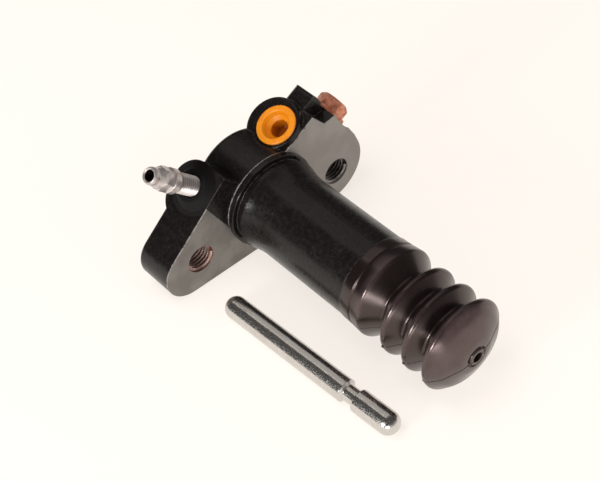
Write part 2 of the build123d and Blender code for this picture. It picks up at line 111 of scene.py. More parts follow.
class Finish:
    """The nodes of a material or of the world. Its methods add nodes and return their outputs."""

    def __init__(self, owner, shader, space):
        owner.use_nodes = True
        self.owner = owner
        self.tree = owner.node_tree
        self.shader = self.tree.nodes[shader]
        self.place = self.add("ShaderNodeTexCoord").outputs[space]

    def put(self, socket, value):
        """Sets a socket to another node's output, a number, a vector or a colour's hex code."""
        if isinstance(value, bpy.types.NodeSocket):
            self.tree.links.new(value, socket)
        else:
            socket.default_value = linear(value) if isinstance(value, str) else value

    def set(self, name, value):
        """Sets one of the shader's own sockets."""
        self.put(self.shader.inputs[name], value)

    def add(self, kind, settings=None, **sockets):
        """A new node. A socket is given by its name, or by its number after an underscore."""
        node = self.tree.nodes.new(kind)
        for name, value in (settings or {}).items():
            setattr(node, name, value)
        for name, value in sockets.items():
            key = int(name[1:]) if name[0] == "_" else name.replace("_", " ")
            self.put(node.inputs[key], value)
        return node

    def math(self, operation, value, *others):
        """One kind of arithmetic on a single value, or on several from left to right."""
        for other in others or (0.0,):
            node = self.add("ShaderNodeMath", {"operation": operation}, _0=value, _1=other)
            value = node.outputs[0]
        return value

    def vector(self, operation, first, second=(0, 0, 0)):
        """The outputs of a vector's arithmetic."""
        node = self.add("ShaderNodeVectorMath", {"operation": operation}, _0=first, _1=second)
        return node.outputs

    def split(self, vector):
        """The X, Y and Z of a vector."""
        return self.add("ShaderNodeSeparateXYZ", Vector=vector).outputs

    def ramp(self, value, low, high, start=0.0, end=1.0):
        """A value mapped from one span to another and held at both ends."""
        spans = {"From_Min": low, "From_Max": high, "To_Min": start, "To_Max": end}
        return self.add("ShaderNodeMapRange", {"clamp": True}, Value=value, **spans).outputs["Result"]

    def blend(self, share, first, second):
        """Two colours mixed by a share from 0 to 1."""
        return self.add("ShaderNodeMix", {"data_type": "RGBA"}, _0=share, _6=first, _7=second).outputs[2]

    def mottle(self, size, detail=3.0, roughness=0.5, where=None):
        """Cloudy variation with spots of about the given size."""
        look = {"Scale": 1 / size, "Detail": detail, "Roughness": roughness}
        return self.add("ShaderNodeTexNoise", Vector=where or self.place, **look).outputs["Fac"]

    def normal(self):
        """The direction that the surface faces."""
        return self.add("ShaderNodeNewGeometry").outputs["Normal"]

    def bump(self, height, depth, strength, normal=None):
        """The surface's direction, turned by relief of the given depth."""
        node = self.add("ShaderNodeBump", Strength=strength, Distance=depth, Height=height)
        if normal is not None:
            self.put(node.inputs["Normal"], normal)
        return node.outputs["Normal"]

    def from_axis(self, origin, direction):
        """Distance of a point from an axis."""
        offset = self.vector("SUBTRACT", self.place, tuple(origin))["Vector"]
        aside = self.vector("CROSS_PRODUCT", offset, Vector(direction).normalized())["Vector"]
        return self.vector("LENGTH", aside)["Value"]

    def along_axis(self, origin, direction):
        """Distance of a point along an axis, from the axis's origin."""
        offset = self.vector("SUBTRACT", self.place, tuple(origin))["Vector"]
        return self.vector("DOT_PRODUCT", offset, Vector(direction).normalized())["Value"]


def finish_of(name):
    """A new material, ready for the nodes of one finish."""
    return Finish(bpy.data.materials.new(name), "Principled BSDF", "Object")


def dress(node, surface):
    """Gives a node of the CAD model its finish."""
    mesh = frame["nodes"][node].data
    mesh.materials.clear()
    mesh.materials.append(surface.owner)


joints = frame["record"]["behaviour"]["joints"]
bleeder_joint = next(joint for joint in joints if joint["name"] == "bleeder_turn")
bleeder_seat = bleeder_joint["pos_m"]
bleeder_axis = bleeder_joint["axis"]

casting = finish_of("black_painted_casting")
axes = casting.split(casting.place)
plain_normal = casting.normal()
facing = casting.split(plain_normal)
rounded = casting.add("ShaderNodeBevel", {"samples": 6}, Radius=EDGE_ROUNDING).outputs["Normal"]
edge_turn = casting.vector("DOT_PRODUCT", rounded, plain_normal)["Value"]
stain = casting.mottle(9.0 * MM)
cast_grain = casting.mottle(1.5 * MM, 4.0, 0.6)
fine_grain = casting.mottle(0.4 * MM, 2.0)
flecks = casting.mottle(0.55 * MM, 1.0)

at_face = casting.math("LESS_THAN", casting.math("ABSOLUTE", axes["X"]), FACE_DEPTH)
milled = casting.math("MULTIPLY", at_face, casting.math("GREATER_THAN", facing["X"], 0.95))
beside_hole = casting.math("SUBTRACT", casting.math("ABSOLUTE", axes["Y"]), HOLE_Y)
above_hole = casting.math("SUBTRACT", axes["Z"], HOLE_Z)
squares = [casting.math("POWER", distance, 2.0) for distance in (beside_hole, above_hole)]
from_hole = casting.math("SQRT", casting.math("ADD", *squares))
tapped = casting.math("LESS_THAN", from_hole, TAPPED_REACH)
on_right = casting.math("GREATER_THAN", axes["Y"], 0.0)
# Sharp edges are lightened in a broken line: partly worn paint, partly a painted highlight where the edges
# catch the light.
worn_and_highlit_edge = casting.math(
    "MULTIPLY", casting.ramp(edge_turn, 0.99, 0.9), casting.ramp(cast_grain, 0.35, 0.6))
dusty = casting.math(
    "MULTIPLY", casting.ramp(flecks, 0.73, 0.78), casting.ramp(stain, 0.5, 0.7), 0.5)
# Round the bleeder's pad the paint is made matt, and its colour nearly black as painted shade.
near_bleeder = casting.ramp(casting.from_axis(bleeder_seat, bleeder_axis), *MATT_RING, 0.8, 0.0)
matt_and_shaded_by_bleeder = casting.math("MULTIPLY", near_bleeder, casting.math("LESS_THAN", facing["X"], 0.9))
# A thin light band on the side walls just behind the milled face: partly paint chipped by the milling,
# partly a painted highlight along that edge.
chipped_and_highlit_edge = casting.math(
    "MULTIPLY",
    casting.ramp(axes["X"], -CHIPPING_AND_HIGHLIGHT_DEPTH[0], -CHIPPING_AND_HIGHLIGHT_DEPTH[1]),
    casting.ramp(cast_grain, 0.3, 0.5),
    casting.math("LESS_THAN", axes["X"], BEHIND_FACE),
    casting.math("LESS_THAN", facing["X"], 0.5),
)
by_collar = casting.math(
    "MULTIPLY",
    casting.ramp(axes["X"], *COLLAR_SPAN[:2]),
    casting.ramp(axes["X"], *COLLAR_SPAN[2:], 1.0, 0.0),
)

coat = casting.blend(casting.ramp(stain, 0.35, 0.7), PAINT, PAINT_FADED)
coat = casting.blend(casting.ramp(cast_grain, 0.42, 0.7, 0.0, 0.6), coat, PAINT_BROWN)
coat = casting.blend(worn_and_highlit_edge, coat, PAINT_WORN_AND_HIGHLIT)
coat = casting.blend(dusty, coat, DUST)
coat = casting.blend(casting.math("MULTIPLY", matt_and_shaded_by_bleeder, 1.2), coat, PAINTED_SHADE_BY_BLEEDER)
coat = casting.blend(chipped_and_highlit_edge, coat, CHIPPED_IRON_AND_HIGHLIGHT)
coat = casting.blend(tapped, coat, casting.blend(on_right, TAPPED_LEFT, TAPPED_RIGHT))
bare = casting.blend(casting.ramp(stain, 0.4, 0.65), MILLED, MILLED_PALE)
# The milled face is painted lighter towards the right ear: painted sheen.
bare = casting.blend(casting.ramp(axes["Y"], 0.0, PAINTED_SHEEN_ACROSS, 0.0, 0.35), bare, MILLED_PAINTED_SHEEN)
casting.set("Base Color", casting.blend(milled, coat, bare))

metal = casting.math("MAXIMUM", milled, casting.math("MULTIPLY", tapped, 0.5))
casting.set("Metallic", casting.math("MULTIPLY", metal, 0.75))

gloss = casting.ramp(cast_grain, 0.3, 0.75, 0.19, 0.35)
gloss = casting.math("SUBTRACT", gloss, casting.math("MULTIPLY", by_collar, 0.09))
gloss = casting.math("MAXIMUM", gloss, matt_and_shaded_by_bleeder)
milled_gloss = casting.ramp(stain, 0.3, 0.7, 0.42, 0.5)
rough = casting.add("ShaderNodeMix", {"data_type": "FLOAT"}, _0=milled, _2=gloss, _3=milled_gloss)
casting.set("Roughness", rough.outputs[0])
casting.set("Specular IOR Level", 0.3)

smoother_in_front = casting.ramp(axes["X"], 0.0, 1.0 * MM, 0.6, 0.3)
smoother_milled = casting.ramp(milled, 0.0, 1.0, 1.0, 0.1)
unevenness = casting.math("MULTIPLY", smoother_milled, smoother_in_front)
unevenness = casting.math("ADD", unevenness, casting.math("MULTIPLY", by_collar, 0.4))
skin = casting.math("ADD", cast_grain, casting.math("MULTIPLY", fine_grain, 0.35))
casting.set("Normal", casting.bump(skin, CAST_RELIEF, unevenness, rounded))
dress("cylinder_body", casting)


# Threads of the two mounting holes
# M10 by 1.25, cut with a tap after the casting is painted, so the turns are bare iron with
# a trace of rust. The left hole has rusted a little more than the right one.
LEFT_IRON = "#c9b1aa"
LEFT_RUST = "#a07a70"
RIGHT_IRON = "#8b8783"
RIGHT_RUST = "#5f5854"
THREAD_PITCH = 1.25 * MM
THREAD_TIP = 4.3 * MM
THREAD_LENGTH = 13.8 * MM
THREAD_START = -14.6 * MM
RIDGE_SHARE = 0.94
STEPS_A_TURN = 48
SMOOTH_BELOW = math.radians(32)


def settle(piece, place):
    """Moves a finished piece to its place and leaves its object at the origin."""
    piece.matrix_world = place
    bpy.ops.object.select_all(action="DESELECT")
    piece.select_set(True)
    bpy.context.view_layer.objects.active = piece
    bpy.ops.object.transform_apply(location=True, rotation=True, scale=True)


def cover(piece, surface, body, node=None):
    """Gives a new piece its finish and its body, and hides the CAD node it stands for, if any."""
    piece.data.materials.clear()
    piece.data.materials.append(surface.owner)
    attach(piece, body)
    if node:
        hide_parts(node)


def wound(name, corners, reach, centre, turn, pitch, turns):
    """A wire of few or many corners wound along Z from 0, at the given distance from it."""
    bpy.ops.object.select_all(action="DESELECT")
    bpy.ops.mesh.primitive_circle_add(
        vertices=corners, radius=reach, fill_type="NOTHING",
        location=(centre, 0, 0), rotation=(math.pi / 2, turn, 0))
    coil = bpy.context.object
    coil.name = name
    bpy.ops.object.transform_apply(location=True, rotation=True, scale=True)
    screw = coil.modifiers.new("winding", "SCREW")
    screw.iterations = turns
    screw.screw_offset = pitch
    screw.steps = screw.render_steps = STEPS_A_TURN
    bpy.ops.object.modifier_apply(modifier=screw.name)
    bpy.ops.object.mode_set(mode="EDIT")
    bpy.ops.mesh.select_all(action="SELECT")
    bpy.ops.mesh.fill_holes(sides=0)
    bpy.ops.mesh.select_all(action="SELECT")
    bpy.ops.mesh.normals_make_consistent(inside=False)
    bpy.ops.object.mode_set(mode="OBJECT")
    bpy.ops.object.shade_smooth_by_angle(angle=SMOOTH_BELOW)
    return coil


def thread_ridge(name, tip_radius, pitch, length, inward):
    """One sharp ridge wound along Z from 0, as a tap or a die cuts it."""
    reach = pitch * RIDGE_SHARE / math.sqrt(3)
    turn = -math.pi / 2 if inward else math.pi / 2
    centre = tip_radius + reach if inward else tip_radius - reach
    return wound(name, 3, reach, centre, turn, pitch, int(length / pitch))


def along(origin, direction, roll=(0, 0, 1)):
    """The place of a piece that is modelled along Z and stands on the given axis."""
    z = Vector(direction).normalized()
    x = Vector(roll).cross(z).normalized()
    turn = Matrix((x, z.cross(x), z)).transposed().to_4x4()
    return Matrix.Translation(Vector(origin)) @ turn


def tapped_iron(name, clean, rusty):
    """Bare thread turns, from clean metal to rust."""
    iron = finish_of(name)
    rust = iron.mottle(2.2 * MM)
    iron.set("Base Color", iron.blend(iron.ramp(rust, 0.4, 0.65), clean, rusty))
    iron.set("Roughness", iron.ramp(rust, 0.3, 0.7, 0.26, 0.42))
    iron.set("Metallic", 0.9)
    return iron


left_iron = tapped_iron("tapped_iron_left", LEFT_IRON, LEFT_RUST)
right_iron = tapped_iron("tapped_iron_right", RIGHT_IRON, RIGHT_RUST)
for side, across, iron in (("left", -HOLE_Y, left_iron), ("right", HOLE_Y, right_iron)):
    thread = thread_ridge(side + "_mounting_thread", THREAD_TIP, THREAD_PITCH, THREAD_LENGTH, True)
    settle(thread, along((THREAD_START, across, HOLE_Z), (1, 0, 0)))
    cover(thread, iron, "housing")


# Piston, spring seat, return spring and stop ring
# The piston is turned aluminium and the rest is oiled spring steel.
# They show only through the boot's hole or when the model is opened. The real spring closes up
# between its seat and the closed end as the piston goes in; here it stays at the CAD spring's length.
ALUMINIUM = "#c9c9c8"
ALUMINIUM_DULL = "#b4b4b3"
SPRING_STEEL = "#8b8987"
SPRING_OILED = "#6e6c6a"
TOOL_MARKS = 2.4 * MM
SPRING_WIRE = 0.6 * MM
SPRING_RADIUS = 7.0 * MM
SPRING_TURNS = 7
SPRING_CORNERS = 14

aluminium = finish_of("turned_aluminium")
bands = {"wave_type": "BANDS", "bands_direction": "X"}
look = {"Scale": 1 / TOOL_MARKS, "Distortion": 0.6, "Detail": 1.0}
marks = aluminium.add("ShaderNodeTexWave", bands, Vector=aluminium.place, **look).outputs["Fac"]
aluminium.set("Base Color", aluminium.blend(marks, ALUMINIUM, ALUMINIUM_DULL))
aluminium.set("Metallic", 1.0)
aluminium.set("Roughness", 0.3)
dress("piston", aluminium)

spring_steel = finish_of("oiled_spring_steel")
oil = spring_steel.mottle(1.5 * MM)
spring_steel.set("Base Color", spring_steel.blend(oil, SPRING_OILED, SPRING_STEEL))
spring_steel.set("Metallic", 1.0)
spring_steel.set("Roughness", 0.34)
for node in ("spring_seat", "stop_ring"):
    dress(node, spring_steel)

low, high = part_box("return_spring")
spring_pitch = (high[0] - low[0] - 2 * SPRING_WIRE) / SPRING_TURNS
spring = wound(
    "wound_return_spring", SPRING_CORNERS, SPRING_WIRE, SPRING_RADIUS, 0, spring_pitch, SPRING_TURNS)
settle(spring, along((low[0] + SPRING_WIRE, 0, 0), (1, 0, 0)))
spring.data.materials.append(spring_steel.owner)
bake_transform(spring)
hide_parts("return_spring")


# Dust boot and piston cup
# Both are black rubber. The boot is a bellows from a two-part mould, with the mould's
# parting line along both sides. Its cuff is snapped over the barrel's step, and a raised
# lip goes round the hole that the push rod passes through.
RUBBER = "#0e0909"
RUBBER_BLOOM = "#150e0e"
RUBBER_SCUFFED = "#2b201f"
# Painted sheen on the crests and the dome.
RUBBER_PAINTED_SHEEN = "#423636"
# Painted shade inside the hole through the boot's tip.
RUBBER_PAINTED_SHADE_IN_HOLE = "#030202"
RUBBER_PARTING = "#020202"
RUBBER_SHEEN = "#ffe6df"
PARTING_TILT = math.radians(15)
PARTING_WIDTH = (0.1 * MM, 0.28 * MM)
PARTING_DEPTH = 0.2 * MM
CREST_RADII = (14.9 * MM, 16.3 * MM)
CREST_START = (57 * MM, 59 * MM)
DOME_START = (87.5 * MM, 90 * MM)
BOOT_HOLE = (1.7 * MM, 2.0 * MM)
BOOT_SEGMENTS = 168
NUB_SEGMENTS = 12
MERGE_WITHIN = 0.001 * MM
BOOT_OUTSIDE = [
    (51.1, 14.0, 0.1), (51.1, 15.4, 0.35), (54.9, 15.5, 0.25), (55.3, 15.05, 0.15), (55.7, 15.1, 0.15),
    (56.1, 15.65, 0.3), (59.8, 15.95, 1.3), (65.6, 10.5, 0.85), (70.1, 16.6, 1.5), (74.6, 10.5, 0.85),
    (79.1, 16.6, 1.5), (83.6, 10.5, 0.85), (87.9, 16.95, 1.5), (91.9, 12.6, 7.0), (94.35, 6.2, 6.0),
    (94.7, 3.9, 0.3), (93.9, 3.45, 0.35), (93.9, 3.1, 0.1), (95.1, 2.75, 0.4), (95.1, 1.65, 0.3),
]
BOOT_INSIDE = [
    (91.2, 1.65, 0.0), (91.4, 3.4, 0.3), (90.2, 10.2, 2.0), (87.9, 14.4, 0.5), (83.6, 8.3, 0.5),
    (79.1, 14.3, 0.5), (74.6, 8.3, 0.5), (70.1, 14.3, 0.5), (65.6, 8.3, 0.5), (60.0, 14.2, 0.5),
    (55.0, 14.0, 0.0), (54.1, 14.0, 0.0), (54.1, 13.0, 0.2), (52.3, 13.0, 0.2), (52.3, 14.0, 0.0),
]
NUB_PLACES = [(59.6, 15.5), (70.1, 15.8), (79.1, 15.8), (87.8, 16.0)]
NUB_PROFILE = [(-0.7, 0.5, 0.0), (-0.7, 0.55, 0.1), (0.1, 0.4, 0.15), (0.1, 0.1, 0.0)]


def eased(corners, steps=5):
    """A profile's stations in metres, from corners given as height, radius and rounding in mm."""
    stations = []
    for before, (height, radius, rounding), after in zip([None] + corners, corners, corners[1:] + [None]):
        here = Vector((height, radius)) * MM
        if not rounding or before is None or after is None:
            stations.append(tuple(here))
            continue
        back = (Vector(before[:2]) * MM - here).normalized()
        on = (Vector(after[:2]) * MM - here).normalized()
        half = back.angle(on) / 2
        centre = here + (back + on).normalized() * rounding * MM / math.sin(half)
        first = (here + back * rounding * MM / math.tan(half) - centre).normalized()
        last = (here + on * rounding * MM / math.tan(half) - centre).normalized()
        for step in range(steps + 1):
            stations.append(tuple(centre + first.slerp(last, step / steps) * rounding * MM))
    return stations


def turned(name, stations, segments=128, ring=False):
    """A round piece along Z, drawn out from a circle by one station after another."""
    height, radius = stations[0]
    bpy.ops.object.select_all(action="DESELECT")
    bpy.ops.mesh.primitive_circle_add(
        vertices=segments, radius=radius, fill_type="NOTHING" if ring else "NGON", location=(0, 0, height))
    piece = bpy.context.object
    piece.name = name
    bpy.ops.object.transform_apply(location=True, rotation=True, scale=True)
    bpy.ops.object.mode_set(mode="EDIT")
    bpy.ops.mesh.select_all(action="SELECT")
    for next_height, next_radius in stations[1:] + (stations[:1] if ring else []):
        bpy.ops.mesh.extrude_region_move(TRANSFORM_OT_translate={"value": (0, 0, next_height - height)})
        share = next_radius / radius
        bpy.ops.transform.resize(value=(share, share, 1), center_override=(0, 0, next_height))
        height, radius = next_height, next_radius
    bpy.ops.mesh.select_all(action="SELECT")
    bpy.ops.mesh.remove_doubles(threshold=MERGE_WITHIN)
    bpy.ops.mesh.normals_make_consistent(inside=False)
    bpy.ops.object.mode_set(mode="OBJECT")
    bpy.ops.object.shade_smooth_by_angle(angle=SMOOTH_BELOW)
    return piece


def joined(first, *others):
    """One piece made of several."""
    bpy.ops.object.select_all(action="DESELECT")
    for part in (first, *others):
        part.select_set(True)
    bpy.context.view_layer.objects.active = first
    bpy.ops.object.join()
    return first


rubber = finish_of("moulded_black_rubber")
axes = rubber.split(rubber.place)
facing = rubber.split(rubber.normal())
off_bore = rubber.from_axis((0, 0, 0), (1, 0, 0))
bloom = rubber.mottle(7.0 * MM, 4.0, 0.6)
scuff = rubber.mottle(2.0 * MM, 5.0, 0.7)
skin = rubber.mottle(0.5 * MM, 2.0)

parting_face = (0, -math.sin(PARTING_TILT), math.cos(PARTING_TILT))
off_parting = rubber.math("ABSOLUTE", rubber.along_axis((0, 0, 0), parting_face))
parting = rubber.ramp(off_parting, *PARTING_WIDTH, 1.0, 0.0)
# The inside of the hole through the boot's tip is painted nearly black: painted shade.
shade_in_hole = rubber.ramp(off_bore, *BOOT_HOLE, 1.0, 0.0)
# The crests' side that faces -Y and the upper part of the dome are painted lighter in cloudy patches:
# painted sheen.
sheen_on_crests = rubber.math(
    "MULTIPLY",
    rubber.ramp(off_bore, *CREST_RADII),
    rubber.ramp(facing["Y"], 0.1, -0.7, 0.1, 1.0),
    rubber.ramp(axes["X"], *CREST_START),
)
sheen_on_dome = rubber.math(
    "MULTIPLY", rubber.ramp(axes["X"], *DOME_START), rubber.ramp(facing["Z"], -0.4, 0.3, 0.3, 1.0))
painted_sheen = rubber.math(
    "MULTIPLY", rubber.math("MAXIMUM", sheen_on_crests, sheen_on_dome), rubber.ramp(bloom, 0.3, 0.65, 0.5, 1.0))

tone = rubber.blend(rubber.ramp(bloom, 0.35, 0.7), RUBBER, RUBBER_BLOOM)
tone = rubber.blend(rubber.ramp(scuff, 0.55, 0.75, 0.0, 0.25), tone, RUBBER_SCUFFED)
tone = rubber.blend(rubber.math("SUBTRACT", painted_sheen, shade_in_hole), tone, RUBBER_PAINTED_SHEEN)
tone = rubber.blend(shade_in_hole, tone, RUBBER_PAINTED_SHADE_IN_HOLE)
rubber.set("Base Color", rubber.blend(parting, tone, RUBBER_PARTING))
satin = rubber.ramp(bloom, 0.3, 0.7, 0.19, 0.28)
rubber.set("Roughness", rubber.math("MAXIMUM", satin, parting, shade_in_hole))
rubber.set("Specular IOR Level", 0.8)
rubber.set("Specular Tint", RUBBER_SHEEN)
beside_parting = rubber.math("SUBTRACT", 1.0, parting)
skin_bump = rubber.bump(skin, 0.1 * MM, 0.12)
rubber.set("Normal", rubber.bump(beside_parting, PARTING_DEPTH, 1.0, skin_bump))
dress("piston_cup", rubber)

boot = turned("moulded_dust_boot", eased(BOOT_OUTSIDE + BOOT_INSIDE), BOOT_SEGMENTS, ring=True)
settle(boot, along((0, 0, 0), (1, 0, 0)))
nubs = []
outward = Vector((0, -math.cos(PARTING_TILT), -math.sin(PARTING_TILT)))
for height, radius in NUB_PLACES:
    nub = turned("parting_nub", eased(NUB_PROFILE, 3), NUB_SEGMENTS)
    foot = Vector((height * MM, 0, 0)) + outward * radius * MM
    settle(nub, along(foot, outward, (1, 0, 0)))
    nubs.append(nub)
boot = joined(boot, *nubs)
cover(boot, rubber, "housing", "dust_boot")


# Push rod
# Ground steel rod with round ends, bright zinc plated, with a groove near one end.
# It is packed loose, so it lies on the floor beside the cylinder.
ZINC = "#dad7d3"
ZINC_CLOUDED = "#c6c2be"
ROD_MIDDLE = (51.6 * MM, -29.0 * MM, -16.5 * MM)
ROD_TURN = math.radians(3)
ROD_PROFILE = [
    (-37.3, 0.1, 0.0), (-37.3, 4.0, 3.85), (16.0, 4.0, 0.15), (16.8, 2.8, 0.15), (21.3, 2.8, 0.15),
    (21.3, 4.0, 0.3), (37.3, 4.0, 3.85), (37.3, 0.1, 0.0),
]
ROD_END_STEPS = 12
ROUND_SEGMENTS = 96
GRINDING_STRETCH = (0.12, 1.0, 1.0)

plated_rod = finish_of("bright_zinc_plate")
cloud = plated_rod.mottle(4.0 * MM)
stretch = {"Vector": plated_rod.place, "Scale": GRINDING_STRETCH}
ground = plated_rod.add("ShaderNodeMapping", {"vector_type": "POINT"}, **stretch).outputs["Vector"]
polish = plated_rod.mottle(0.35 * MM, 3.0, 0.6, ground)
grit = plated_rod.ramp(plated_rod.mottle(0.35 * MM, 2.0, 0.6), 0.45, 0.7, 0.0, 0.21)
sheen = plated_rod.ramp(polish, 0.3, 0.7, 0.11, 0.2)
plated_rod.set("Base Color", plated_rod.blend(cloud, ZINC, ZINC_CLOUDED))
plated_rod.set("Metallic", 1.0)
plated_rod.set("Roughness", plated_rod.math("ADD", sheen, grit))
plated_rod.set("Normal", plated_rod.bump(polish, 0.05 * MM, 0.3))

rod = turned("ground_push_rod", eased(ROD_PROFILE, ROD_END_STEPS), ROUND_SEGMENTS)
settle(rod, along(ROD_MIDDLE, (math.cos(ROD_TURN), math.sin(ROD_TURN), 0)))
cover(rod, plated_rod, "housing", "push_rod")


# Bleeder screw
# Steel screw with a fine thread, a round collar, a small hexagon and a barbed hose nipple,
# all zinc plated. The hole through the nipple has a bright chamfer.
PLATING = "#cdc6c3"
PLATING_CLOUDED = "#aca29f"
# Painted shade between the thread turns.
PLATING_PAINTED_SHADE_IN_ROOT = "#8f8785"
# Painted shade inside the nipple's bore.
PLATING_PAINTED_SHADE_IN_BORE = "#17120f"
BLEEDER_STEM = [
    (-9.0, 1.0, 0.0), (-9.0, 2.9, 0.4), (8.7, 2.9, 0.2), (9.0, 3.6, 0.1), (9.0, 4.15, 0.3),
    (9.3, 4.2, 0.1), (11.6, 4.2, 0.2), (11.9, 3.95, 0.1), (11.9, 3.4, 0.1), (16.0, 3.5, 0.2),
    (17.9, 2.75, 0.6), (18.3, 2.75, 0.2), (18.8, 3.0, 0.3), (19.8, 2.95, 0.4), (20.55, 2.6, 0.25),
    (20.55, 2.3, 0.1), (20.1, 1.85, 0.15), (10.0, 1.7, 0.0),
]
BLEEDER_SEGMENTS = 72
BLEEDER_PITCH = 1.0 * MM
BLEEDER_THREAD_TIP = 3.45 * MM
BLEEDER_THREAD_LENGTH = 10.0 * MM
BLEEDER_THREAD_START = -1.2 * MM
BLEEDER_THREAD_END = 8.9 * MM
BLEEDER_HEX_ACROSS = 7.2 * MM
BLEEDER_HEX_SPIN = math.radians(30)
BLEEDER_HEX_LIMIT = [(11.85, 3.9, 0.0), (12.2, 4.15, 0.2), (15.2, 4.15, 0.5), (16.2, 3.5, 0.0)]
BLEEDER_BORE = (1.9 * MM, 2.0 * MM)
BLEEDER_ROOT = (2.95 * MM, 3.3 * MM)
HEX_SPARE = 2 * MM
HEX_EDGE = 0.12 * MM
HEX_EDGE_ANGLE = math.radians(35)


def shared_with(piece, limiter):
    """Keeps what a piece shares with a limiting shape, which is then taken away."""
    bpy.ops.object.select_all(action="DESELECT")
    piece.select_set(True)
    bpy.context.view_layer.objects.active = piece
    common = piece.modifiers.new("limit", "BOOLEAN")
    common.operation = "INTERSECT"
    common.solver = "EXACT"
    common.object = limiter
    bpy.ops.object.modifier_apply(modifier=common.name)
    bpy.data.objects.remove(limiter)


def hexagon(name, across_flats, limit, spin):
    """A hexagon along Z whose corners are turned down to the profile that limits it."""
    low, high = limit[0][0] * MM, limit[-1][0] * MM
    bpy.ops.object.select_all(action="DESELECT")
    bpy.ops.mesh.primitive_cylinder_add(
        vertices=6, radius=across_flats / math.sqrt(3), depth=high - low + HEX_SPARE,
        location=(0, 0, (low + high) / 2), rotation=(0, 0, spin))
    head = bpy.context.object
    head.name = name
    bpy.ops.object.transform_apply(location=True, rotation=True, scale=True)
    shared_with(head, turned(name + "_limit", eased(limit, 6), ROUND_SEGMENTS))
    easing = head.modifiers.new("edge", "BEVEL")
    easing.width = HEX_EDGE
    easing.segments = 2
    easing.limit_method = "ANGLE"
    easing.angle_limit = HEX_EDGE_ANGLE
    bpy.ops.object.modifier_apply(modifier=easing.name)
    bpy.ops.object.shade_smooth_by_angle(angle=SMOOTH_BELOW)
    return head


plated_screw = finish_of("zinc_plated_screw")
cloud = plated_screw.mottle(1.6 * MM, 3.0)
pits = plated_screw.mottle(0.3 * MM, 2.0)
off_stem = plated_screw.from_axis(bleeder_seat, bleeder_axis)
up_stem = plated_screw.along_axis(bleeder_seat, bleeder_axis)
# The bore through the nipple is painted nearly black and made not metallic: painted shade.
shade_in_bore = plated_screw.ramp(off_stem, *BLEEDER_BORE, 1.0, 0.0)
# The stem between the thread turns is painted darker: painted shade in the thread's root.
shade_in_root = plated_screw.math(
    "MULTIPLY",
    plated_screw.ramp(off_stem, *BLEEDER_ROOT, 1.0, 0.0),
    plated_screw.math("LESS_THAN", up_stem, BLEEDER_THREAD_END),
)
plating = plated_screw.blend(plated_screw.ramp(cloud, 0.35, 0.7), PLATING, PLATING_CLOUDED)
plating = plated_screw.blend(shade_in_root, plating, PLATING_PAINTED_SHADE_IN_ROOT)
plated_screw.set("Base Color", plated_screw.blend(shade_in_bore, plating, PLATING_PAINTED_SHADE_IN_BORE))
plated_screw.set("Metallic", plated_screw.ramp(shade_in_bore, 0.0, 1.0, 0.75, 0.0))
plated_screw.set("Roughness", plated_screw.ramp(cloud, 0.3, 0.7, 0.3, 0.42))
plated_screw.set("Normal", plated_screw.bump(pits, 0.05 * MM, 0.1))

stem = turned("plated_bleeder_screw", eased(BLEEDER_STEM, 4), BLEEDER_SEGMENTS)
bleeder_hex = hexagon("bleeder_hexagon", BLEEDER_HEX_ACROSS, BLEEDER_HEX_LIMIT, BLEEDER_HEX_SPIN)
bleeder_thread = thread_ridge(
    "bleeder_turns", BLEEDER_THREAD_TIP, BLEEDER_PITCH, BLEEDER_THREAD_LENGTH, False)
bleeder_thread.location = (0, 0, BLEEDER_THREAD_START)
bleeder = joined(stem, bleeder_hex, bleeder_thread)
settle(bleeder, along(bleeder_seat, bleeder_axis))
cover(bleeder, plated_screw, "bleeder", "bleeder_screw")


# Transport plug
# Injection-moulded soft plastic, orange and slightly see-through, pushed into the inlet
# port so that its rim rests on the port's face. Its mouth is dished round a blind hole.
ORANGE = "#dc8c13"
ORANGE_DEEP = "#c86e0c"
# Painted shade in the plug's blind hole.
ORANGE_PAINTED_SHADE_IN_HOLE = "#7a3205"
BLOCK_TILT = math.radians(30)
PORT_FACE = (-8.0, 19.9, 10.9)
PORT_AXIS = (0, -math.sin(BLOCK_TILT), math.cos(BLOCK_TILT))
PLUG_HOLE = (2.7 * MM, 3.3 * MM)
PLUG_GLOW_RADIUS = (3.0 * MM, 1.1 * MM, 0.2 * MM)
PLUG_PROFILE = [
    (-7.98, 4.4, 0.0), (-7.98, 4.9, 0.3), (0.02, 5.38, 0.1), (0.02, 7.15, 0.3), (1.02, 7.15, 0.4),
    (1.02, 5.1, 0.5), (-0.9, 4.4, 0.5), (-2.2, 3.1, 0.5), (-6.8, 2.8, 0.3), (-6.8, 0.2, 0.0),
]


def on_block(x, across, up):
    """A point given along the bore, and across and up in the inlet block's tilted frame, in mm."""
    y = across * math.cos(BLOCK_TILT) - up * math.sin(BLOCK_TILT)
    z = across * math.sin(BLOCK_TILT) + up * math.cos(BLOCK_TILT)
    return Vector((x, y, z)) * MM


orange = finish_of("orange_polyethylene")
flow = orange.mottle(3.0 * MM)
# The plug's blind hole is painted a deep brownish orange: painted shade.
shade_in_hole = orange.ramp(orange.from_axis(on_block(*PORT_FACE), PORT_AXIS), *PLUG_HOLE, 0.85, 0.0)
tint = orange.blend(flow, ORANGE, ORANGE_DEEP)
orange.set("Base Color", orange.blend(shade_in_hole, tint, ORANGE_PAINTED_SHADE_IN_HOLE))
orange.set("Roughness", orange.ramp(flow, 0.3, 0.7, 0.28, 0.4))
orange.set("Subsurface Weight", 0.15)
orange.set("Subsurface Radius", PLUG_GLOW_RADIUS)
orange.set("Subsurface Scale", 0.5)

plug = turned("moulded_transport_plug", eased(PLUG_PROFILE, 6), ROUND_SEGMENTS)
settle(plug, along(on_block(*PORT_FACE), PORT_AXIS))
cover(plug, orange, "transport_plug", "inlet_plug")


